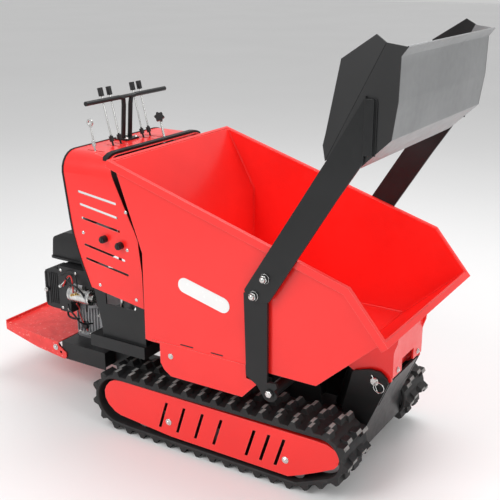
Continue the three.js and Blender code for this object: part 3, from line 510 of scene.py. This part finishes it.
def two_tone():
    """Shovel: brushed steel inside, black paint on the cheeks and the back."""
    m = STEEL.copy()
    m.name = "shovel_two_tone"
    n, link = m.node_tree.nodes, m.node_tree.links.new
    steel = n["Principled BSDF"]
    paint = n.new("ShaderNodeBsdfPrincipled")
    black_tone = n.new("ShaderNodeTexNoise")
    black_tone.inputs["Scale"].default_value = 8
    where = n.new("ShaderNodeTexCoord").outputs["Object"]
    link(where, black_tone.inputs["Vector"])
    ramp = n.new("ShaderNodeValToRGB")
    ramp.color_ramp.elements[0].color = (0.006, 0.006, 0.0065, 1)
    ramp.color_ramp.elements[1].color = (0.014, 0.0145, 0.015, 1)
    link(black_tone.outputs["Fac"], ramp.inputs["Fac"])
    link(ramp.outputs["Color"], paint.inputs["Base Color"])
    paint.inputs["Roughness"].default_value = 0.4
    paint.inputs["Coat Weight"].default_value = 0.12
    link(steel.inputs["Normal"].links[0].from_socket, paint.inputs["Normal"])
    split = n.new("ShaderNodeSeparateXYZ")
    link(where, split.inputs["Vector"])

    def math_node(op, a, b):
        x = n.new("ShaderNodeMath")
        x.operation = op
        for s, v in zip(x.inputs, (a, b)):
            if isinstance(v, (int, float)):
                s.default_value = v
            elif v is not None:
                link(v, s)
        return x.outputs[0]
    side = math_node("GREATER_THAN", math_node("ABSOLUTE", split.outputs["Y"], None), CHEEK_Y)
    along_x = math_node("MULTIPLY", math_node("SUBTRACT", split.outputs["X"], PAN_FOOT[0]), PAN_RISE)
    along_z = math_node("MULTIPLY", math_node("SUBTRACT", split.outputs["Z"], PAN_FOOT[1]), PAN_RUN)
    behind = math_node("LESS_THAN", math_node("SUBTRACT", along_x, along_z), PAINT_BEHIND)
    mask = math_node("MAXIMUM", side, behind)
    mix = n.new("ShaderNodeMixShader")
    link(mask, mix.inputs[0])
    link(steel.outputs[0], mix.inputs[1])
    link(paint.outputs[0], mix.inputs[2])
    link(mix.outputs[0], n["Material Output"].inputs["Surface"])
    return m


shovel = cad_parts["shovel"]
shovel.data.materials.clear()
shovel.data.materials.append(two_tone())
shovel.modifiers.new("soften", "NODES").node_group = SOFTEN

# ---- bolts, nuts and screws -----------------------------------------------------------------------


def group(name, body, build, material=ZINC, angle=30):
    """One piece made of everything that build adds to its mesh."""
    bm = bmesh.new()
    build(bm)
    return piece(name, bm, material, body, angle=angle)


OUT = {-1: "right", 1: "left"}
for side, word in OUT.items():
    axis = (0, side, 0)
    group(f"cover_bolts_{word}", "chassis", lambda bm: [
        hex_bolt(bm, at(x, side * 334.2, z), axis, 9, 6.5) for x, z in ((2, 101), (470, 101))])
    group(f"skirt_bolt_{word}", "hopper", lambda bm: hex_bolt(bm, at(30, side * 348.1, 365), axis, 7.5, 5.5))
    group(f"arm_nuts_{word}", "loader", lambda bm: [
        hex_bolt(bm, at(x, side * 369.6, z), axis, 14, 9, washer=1.18, dome=True, turn=t)
        for x, z, t in ((409, 723, 0.2), (370, 660, 0.9))])
    group(f"arm_foot_{word}", "loader", lambda bm: hex_bolt(bm, at(424, side * 361.3, 338), axis, 12, 8,
                                                            washer=1.15))
    group(f"console_screws_{word}", "chassis", lambda bm: [
        dome_screw(bm, at(x, side * 300.1, z), axis, 5)
        for x, z in ((-375, 724), (-179, 692), (-310, 540), (-148, 516), (-179, 826))])
    group(f"wheel_caps_{word}", "chassis", lambda bm: [
        spin(bm, at(x, side * 214, z), (0, -side, 0), [(0, 17), (6, 17), (8, 14)], 24)
        for x, z in ((-228, 120), (594, 147))])
group("seal_screws", "chassis", lambda bm: [
    dome_screw(bm, at(-301, y, 1003.2), (0, 0, 1), 6) for y in (-150, 0, 150)])
group("bar_bolts", "chassis", lambda bm: [
    hex_bolt(bm, at(x, y, 1009.1), (0, 0, 1), 5.5, 4.5) for x in (-430, -388) for y in (-26, 26)])
group("bracket_bolts", "hopper", lambda bm: [
    hex_bolt(bm, at(738.2, y, 388), (1, 0, 0), 7, 5.5) for y in (-84, 84)])
group("base_nuts", "chassis", lambda bm: [
    hex_bolt(bm, at(x, y, 222.2), (0, 0, 1), 8, 7) for x in (-586, -510) for y in (-104, 104)])
for side, word in OUT.items():
    group(f"step_bolts_{word}", "platform", lambda bm: hex_bolt(bm, at(-648, side * 202.2, 180),
                                                                (0, side, 0), 9, 6))
group("shroud_bolts", "chassis", lambda bm: [
    dome_screw(bm, at(x, -160.1, z), (0, -1, 0), 5) for x, z in ((-636, 492), (-560, 492), (-492, 480),
                                                                (-636, 336), (-604, 336))])
group("filter_clip", "chassis", lambda bm: spin(bm, at(-716, -159.5, 397), (0, -1, 0), [
    (0, 9), (4, 9), (5, 7), (9, 7), (10, 5)], 6))
group("port_fittings", "chassis", lambda bm: [
    spin(bm, at(x, 170, 351), (0, 0, 1), [(0, 11), (11, 11), (12.5, 9), (18, 9), (19, 8)], 6)
    for x in (-566, -530)], material=BRASS)

# Collar, ring and split pin at the end of the hopper pin.
group("pin_collar", "chassis", lambda bm: spin(bm, at(683, -135.6, 354), (0, -1, 0), [
    (0, 14), (2, 14.5), (4, 14.5), (5.5, 13)], 28))
RING_X, RING_Z, RING_R = 683 + 20, 342, 18
ring = [at(RING_X + RING_R * math.cos(t), -150 - 2 * math.sin(t), RING_Z + RING_R * math.sin(t))
        for t in (2 * math.pi * k / 20 for k in range(20))]
tube("pin_ring", ring, 1.5, ZINC, "chassis", closed=True)
tube("split_pin", [at(672, -139.5, 376), at(680, -139.8, 362), at(686, -139.8, 345), at(694, -141, 326),
                   at(701, -144, 318)], 1.8, ZINC, "chassis")

# Folded channel that ties each arm to the cheek of the shovel.
CHANNEL_PLAN = [(714, 361.6), (748, 361.6), (748, 364.6), (741, 364.6), (741, 372.5), (714, 372.5),
                (714, 369.7), (738, 369.7), (738, 364.6), (714, 364.6)]
CHANNEL_LEAN = ((1136, 0), (1150, 2), (1278, 2), (1290, 0))  # height, and how far forward it stands there
for side, word in OUT.items():
    bm = bmesh.new()
    ring_loft(bm, [[at(x + lean, side * y, z) for x, y in CHANNEL_PLAN] for z, lean in CHANNEL_LEAN])
    piece(f"arm_channel_{word}", bm, BLACK, "loader", bevel=0.8)

# ---- weld beads -----------------------------------------------------------------------------------
RIPPLE = 4.2  # millimetres along the run
VALLEY, TAPER = 0.78, 0.3  # share of the radius between ripples and at the two ends


def bead(name, points, r, body, material=RED):
    """A weld run: a string of small overlapping ripples along a line."""
    pts = [Vector(p) for p in points]
    bm = bmesh.new()
    dists = [(b - a).length for a, b in zip(pts, pts[1:])]
    total = sum(dists)
    count = max(6, int(total / (RIPPLE / 1000)) * 2)
    rings = []
    for k in range(count + 1):
        s, i = total * k / count, 0
        while i < len(dists) - 1 and s > dists[i]:
            s -= dists[i]
            i += 1
        t = (pts[i + 1] - pts[i]).normalized()
        c = pts[i] + t * min(s, dists[i])
        side = t.orthogonal().normalized()
        up = t.cross(side)
        rr = r / 1000 * ((1.0 if k % 2 else VALLEY) if 0 < k < count else TAPER)
        rings.append([c + (side * math.cos(a) + up * math.sin(a)) * rr
                      for a in (2 * math.pi * j / 8 for j in range(8))])
    ring_loft(bm, rings)
    piece(name, bm, material, body, angle=60)


TUB_SEAM = [(-184, 1006), (-64, 789), (-64, 405), (578, 405), (797, 605)]
SHOVEL_SEAM = [(806, 1400), (803, 1286), (790, 1185), (701, 1098)]
BRACKET_SLOPE = 0.909
for side, word in OUT.items():
    bead(f"tub_weld_{word}", [at(x, side * 340.8, z) for x, z in TUB_SEAM], 2.6, "hopper")
    bead(f"bracket_weld_{word}", [at(x, side * 115.4, 399 + (x - 580) * BRACKET_SLOPE - 1)
                                  for x in (600, 650, 700, 750)], 3.2, "hopper")
    bead(f"shovel_weld_{word}", [at(x, side * 356.6, z) for x, z in SHOVEL_SEAM], 2.4, "loader",
         material=STEEL)
bead("tub_weld_rear", [at(-64, -338, 406), at(-64, 338, 406)], 2.2, "hopper")
bead("tub_weld_front", [at(578, -338, 405.5), at(578, 338, 405.5)], 2.2, "hopper")


def slot_plate(bm, x0, x1, y, z, side):
    """A slit with round ends, from 1 mm inside y to a quarter of a millimetre outside it."""
    r = 2.2
    turns = [-math.pi / 2 + math.pi * k / 6 for k in range(7)]
    points = [(x1 - r + r * math.cos(t), z + r * math.sin(t)) for t in turns]
    points += [(x0 + r - r * math.cos(t), z - r * math.sin(t)) for t in turns]
    ring_loft(bm, [[at(x, side * (y + h), zz) for x, zz in points] for h in (-1.0, 0.25)])


# Each stitch slit is a near-black plate: painted shade for the hollow of the slit.
for side, word in OUT.items():
    group(f"stitch_slits_{word}", "hopper", lambda bm: [
        slot_plate(bm, a, b, 345.0, 417, side) for a, b in ((69, 122), (192, 240))],
          material=SLIT_SHADE)

# ---- engine dressing ------------------------------------------------------------------------------
WIRES = (
    (3.0, WIRE_RED, [(-560, -178, 420), (-552, -186, 452), (-570, -176, 482), (-596, -168, 470),
                     (-622, -166, 430)]),
    (2.6, PLASTIC, [(-540, -180, 430), (-528, -188, 462), (-548, -182, 500), (-590, -170, 496),
                    (-640, -166, 470)]),
    (3.4, PLASTIC, [(-600, -168, 360), (-576, -186, 350), (-550, -188, 330), (-530, -176, 300),
                    (-520, -122, 280)]),
    (4.2, PLASTIC, [(-650, -100, 316), (-640, -130, 300), (-610, -140, 290), (-585, -122, 286)]))
for k, (r, material, points) in enumerate(WIRES):
    tube(f"engine_wire_{k + 1}", [at(*p) for p in points], r, material, "chassis")
group("starter_terminal", "chassis", lambda bm: [
    spin(bm, at(x, -181.5, z), (0, -1, 0), [(0, 6), (5, 6), (6, 4), (11, 4)], 6)
    for x, z in ((-560, 412), (-540, 420))], material=BRASS)
group("starter_bands", "chassis", lambda bm: [
    spin(bm, at(x, -150, 404), (1, 0, 0), [(0, 32.2), (0.6, 33), (5, 33), (5.6, 32.2)], 32)
    for x in (-584, -500)],
    material=CAST)
group("filter_ribs", "chassis", lambda bm: [
    ring_loft(bm, [[at(x, y, z) for x, z in ((a, 342), (a + 4, 342), (a + 4, 470), (a, 470))]
                   for y in (-149, -152.5)])
    for a in (-700, -690, -680, -670)], material=PLASTIC)
group("sump_bolts", "chassis", lambda bm: [
    hex_bolt(bm, at(x, -110.1, z), (0, -1, 0), 5.5, 5)
    for x, z in ((-600, 226), (-545, 226), (-494, 226), (-494, 316))])
group("sump_ribs", "chassis", lambda bm: [
    ring_loft(bm, [[at(xx, y, z)
                    for xx, z in ((x, 232), (x + 3.5, 232), (x + 3.5, 322 + k * 3), (x, 322 + k * 3))]
                   for y in (-109, -116)]) for k, x in enumerate(range(-606, -486, 15))],
    material=CAST)
group("starter_nose", "chassis", lambda bm: [
    spin(bm, at(-592, -150, 404), (-1, 0, 0), [(-3, 30), (0, 31), (3, 29), (5, 22), (9, 20), (10, 16)], 32),
    spin(bm, at(-572, -150, 440), (1, 0, 0), [(0, 12), (1, 13.5), (44, 13.5), (46, 12), (50, 8)], 24)],
    material=CAST)
group("solenoid_cap", "chassis", lambda bm: spin(bm, at(-526.5, -150, 440), (1, 0, 0), [
    (0, 14.2), (1, 15), (15, 15), (17, 12), (19, 6)], 24), material=PLASTIC)
group("governor_rod", "chassis", lambda bm: [
    spin(bm, at(-636, -163, 430), (0.72, 0, 0.69), [(0, 2.4), (60, 2.4)], 12),
    spin(bm, at(-640, -161, 426), (0, -1, 0), [(0, 7), (3, 7), (4, 5), (7, 5)], 6)])
group("oil_plug", "chassis", lambda bm: spin(bm, at(-560, -110, 262), (0, -1, 0), [
    (0, 16), (8, 16), (10, 13), (16, 13), (18, 11)], 24), material=PLASTIC)
tube("harness", [at(*p) for p in [(-598, -176, 470), (-560, -190, 460), (-520, -186, 440), (-500, -176, 400),
                                  (-512, -160, 350), (-540, -128, 330)]],
     4.0, PLASTIC, "chassis")
tube("earth_wire", [at(*p) for p in [(-548, -176, 376), (-558, -150, 345), (-580, -130, 320), (-572, -122, 280),
                                     (-552, -118, 240)]], 2.4, WIRE_RED, "chassis")

# ---- floor ----------------------------------------------------------------------------------------
bm = bmesh.new()
bmesh.ops.create_grid(bm, x_segments=1, y_segments=1, size=30)
mesh = bpy.data.meshes.new("floor")
bm.to_mesh(mesh)
bm.free()
floor = bpy.data.objects.new("floor", mesh)
floor.location.z = -0.0005
scene.collection.objects.link(floor)
mesh.materials.append(surface("floor_pale", (0.88, 0.88, 0.88), 0.6, tone=(0.86, 0.86, 0.86), tone_scale=0.5,
                              grain=(30, 0.02)))
